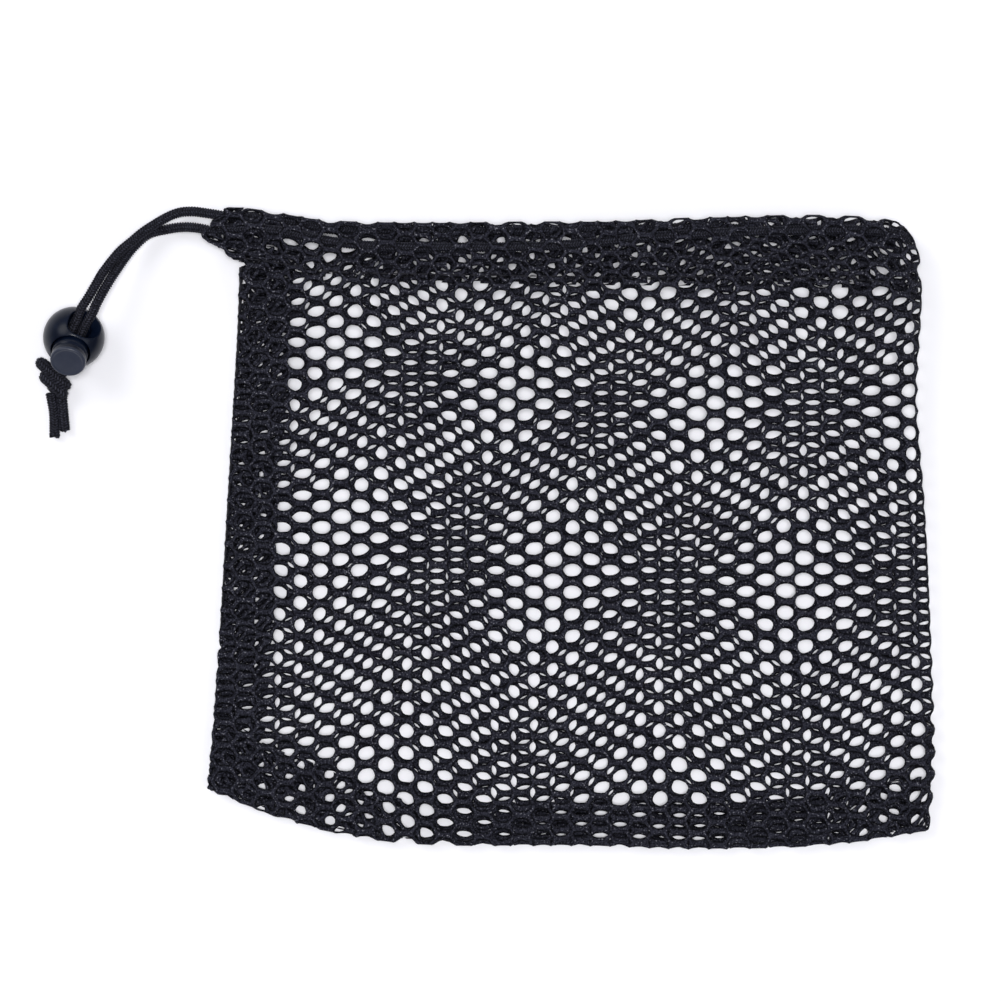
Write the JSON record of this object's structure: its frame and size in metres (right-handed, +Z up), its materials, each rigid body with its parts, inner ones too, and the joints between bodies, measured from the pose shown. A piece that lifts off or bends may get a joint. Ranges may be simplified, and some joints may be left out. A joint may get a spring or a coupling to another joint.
{
  "type": "mesh ball bag",
  "caption": "Flat drawstring bag of open knitted mesh, with a hemmed cord channel at the mouth and a push-button ball cord lock.",
  "frame": {"origin": "on the surface that the bag lies on, under the middle of the bag's own outline, without the free cord", "axes": "+X along the bag's width towards the folded side, +Y towards the mouth, +Z up from the surface that it lies on"},
  "size_m": [0.2652, 0.1894, 0.0212],
  "materials": {
    "mesh_cloth": "black knitted polyester mesh with round holes",
    "sewing_thread": "black polyester thread",
    "braided_cord": "black braided polyester cord",
    "lock_plastic": "black moulded nylon with a satin sheen",
    "button_plastic": "black moulded nylon, fine matt face",
    "spring_steel": "bright spring wire"
  },
  "bodies": {
    "bag": {"back_panel": "mesh_cloth", "front_panel": "mesh_cloth", "right_fold": "mesh_cloth", "side_allowance_back": "mesh_cloth", "side_allowance_front": "mesh_cloth", "bottom_allowance_back": "mesh_cloth", "bottom_allowance_front": "mesh_cloth", "back_hem": "mesh_cloth", "front_hem": "mesh_cloth", "hem_turn": "mesh_cloth", "side_seam_stitching": "sewing_thread", "bottom_seam_stitching": "sewing_thread", "back_channel_stitching": "sewing_thread", "front_channel_stitching": "sewing_thread", "drawcord_in_channel": "braided_cord", "strand_back": "braided_cord", "strand_front": "braided_cord", "knot": "braided_cord", "tail_back": "braided_cord", "tail_front": "braided_cord"},
    "cord_lock": {"lock_body": "lock_plastic", "lock_spring": "spring_steel"},
    "plunger": {"lock_plunger": "button_plastic"}
  },
  "joints": [
    {"name": "lock_travel", "type": "hinge", "parent": "bag", "child": "cord_lock", "pos_m": [-0.13973, 0.06697, -0.00676], "axis": [-0.8746, 0.4848, 0], "range_deg": [0, 37]},
    {"name": "button_press", "type": "slide", "parent": "cord_lock", "child": "plunger", "axis": [0.0668, 0.6439, -0.7622], "range_m": [0, 0.0023], "stiffness_N_per_m": 800, "springref_m": -0.003, "deforming": ["lock_spring"]}
  ]
}
